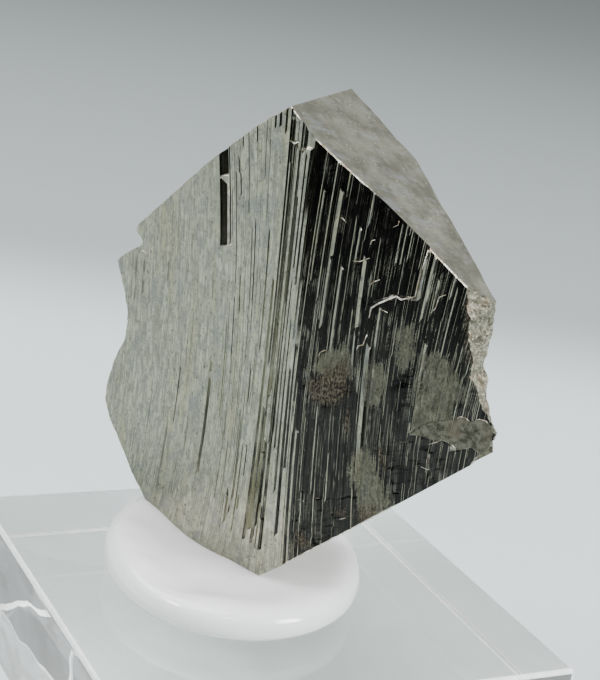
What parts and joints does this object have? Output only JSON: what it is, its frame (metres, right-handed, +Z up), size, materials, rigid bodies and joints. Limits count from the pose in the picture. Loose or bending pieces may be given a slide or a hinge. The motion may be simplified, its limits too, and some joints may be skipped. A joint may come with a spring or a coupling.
{
  "type": "arsenopyrite crystal specimen",
  "caption": "Thick striated arsenopyrite crystal standing on its lower corner in a pat of white putty on a clear square acrylic display block.",
  "frame": {"origin": "centre of the acrylic block's underside", "axes": "+Z up; X and Y along the block's sides; the striated front of the crystal faces -X and -Y"},
  "size_m": [0.032, 0.032, 0.0443],
  "materials": {
    "arsenopyrite": "metallic lustre, striated, with dark and brown tarnish",
    "putty": "smooth and slightly glossy, a little translucent",
    "clear_acrylic": "polished, clear"
  },
  "bodies": {
    "root": {"arsenopyrite_crystal": "arsenopyrite", "mounting_putty": "putty", "acrylic_block": "clear_acrylic"}
  },
  "joints": []
}
